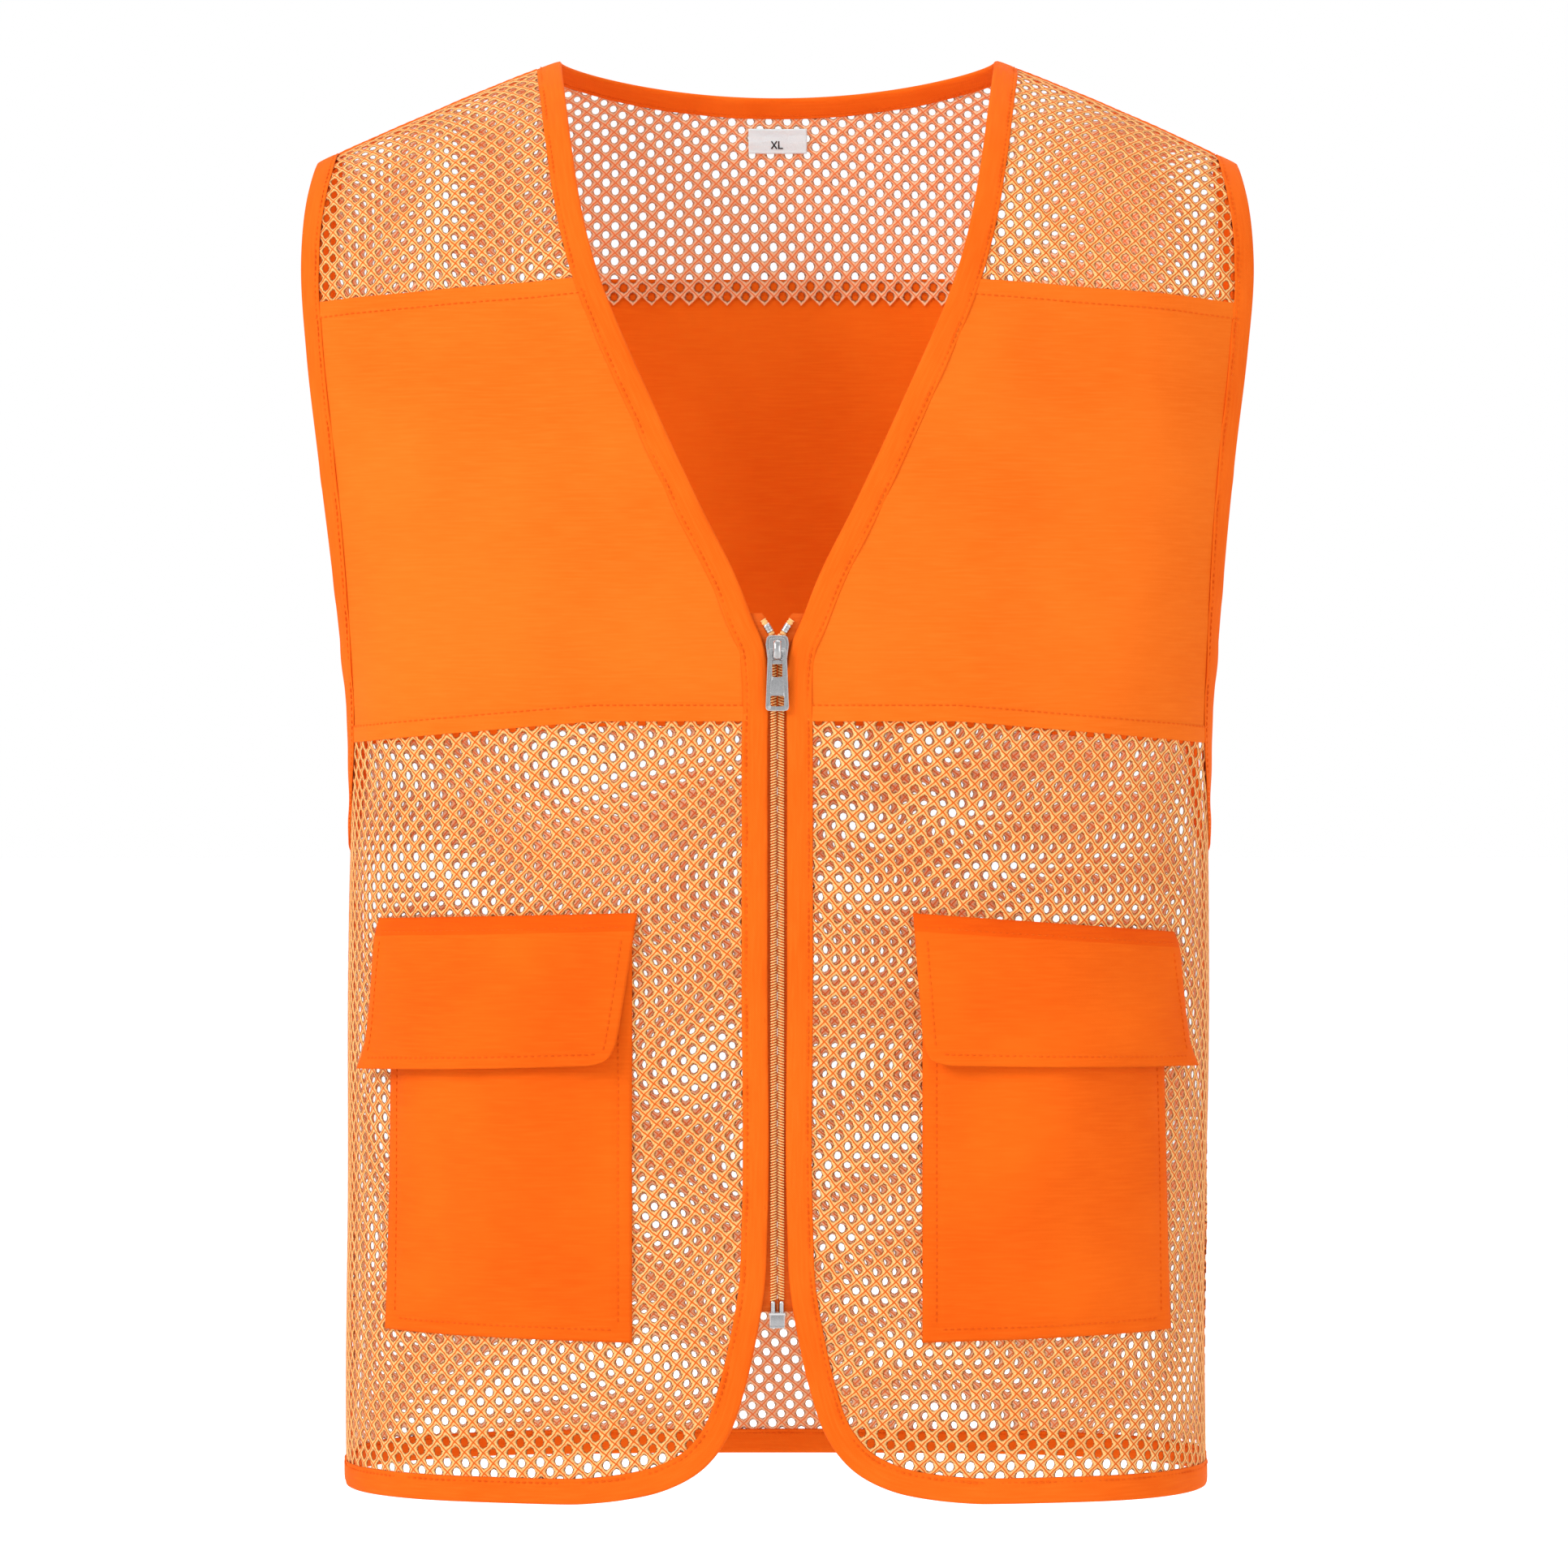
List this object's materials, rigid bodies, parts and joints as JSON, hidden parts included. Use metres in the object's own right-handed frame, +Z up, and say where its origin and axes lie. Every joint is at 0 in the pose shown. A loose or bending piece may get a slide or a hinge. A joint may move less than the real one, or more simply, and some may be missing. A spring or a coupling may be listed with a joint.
{
  "type": "high visibility vest",
  "caption": "Sleeveless orange safety vest: netting body, solid woven chest bands, bound edges, flap pockets and a zip front.",
  "frame": {"origin": "middle of the line between the two high shoulder points, where the vest rests on the wearer or a hanger", "axes": "+Z up, the front with the zip faces -Y, +X is the wearer's left"},
  "size_m": [0.4536, 0.2467, 0.6813],
  "materials": {
    "orange_netting": "open warp-knit netting",
    "orange_weave": "fluorescent orange woven polyester",
    "pocket_weave": "fluorescent orange woven polyester",
    "binding_tape": "folded woven tape with a lockstitch",
    "label_cloth": "white satin label",
    "hook_and_loop": "hook and loop tape",
    "zip_tape": "woven zip tape",
    "zip_coil": "nylon coil",
    "zip_metal": "tumbled zinc alloy"
  },
  "bodies": {
    "vest": {"front_yoke_left": "orange_netting", "front_yoke_right": "orange_netting", "chest_panel_left": "orange_weave", "chest_panel_right": "orange_weave", "front_lower_left": "orange_netting", "front_lower_right": "orange_netting", "back_yoke": "orange_netting", "back_band": "orange_weave", "back_lower": "orange_netting", "neck_binding": "binding_tape", "armhole_binding_left": "binding_tape", "armhole_binding_right": "binding_tape", "front_edge_binding_left": "binding_tape", "front_edge_binding_right": "binding_tape", "back_hem_binding": "binding_tape", "neck_label": "label_cloth", "pocket_left": "pocket_weave", "pocket_right": "pocket_weave", "pocket_loop_patch_left": "hook_and_loop", "pocket_loop_patch_right": "hook_and_loop", "zip_tape_left": "zip_tape", "zip_tape_right": "zip_tape", "zip_coil_left": "zip_coil", "zip_coil_right": "zip_coil", "zip_top_stop_left": "zip_metal", "zip_top_stop_right": "zip_metal", "zip_insertion_pin": "zip_metal", "zip_retainer_pin": "zip_metal", "zip_retainer_box": "zip_metal"},
    "flap_left": {"pocket_flap_left": "pocket_weave", "flap_hook_patch_left": "hook_and_loop"},
    "flap_right": {"pocket_flap_right": "pocket_weave", "flap_hook_patch_right": "hook_and_loop"},
    "slider": {"zip_slider": "zip_metal"},
    "pull": {"zip_pull_tab": "zip_metal"}
  },
  "joints": [
    {"name": "zip_travel", "type": "slide", "parent": "vest", "child": "slider", "axis": [0, 0, 1], "range_m": [-0.293, 0]},
    {"name": "pull_swing", "type": "hinge", "parent": "slider", "child": "pull", "pos_m": [0, -0.1314, -0.285], "axis": [-1, 0, 0], "range_deg": [0, 160]},
    {"name": "flap_left_lift", "type": "hinge", "parent": "vest", "child": "flap_left", "pos_m": [0.13971, -0.11632, -0.4065], "axis": [-0.9492, -0.3148, 0], "range_deg": [0, 140]},
    {"name": "flap_right_lift", "type": "hinge", "parent": "vest", "child": "flap_right", "pos_m": [-0.13971, -0.11632, -0.4065], "axis": [-0.9492, 0.3148, 0], "range_deg": [0, 140]}
  ]
}
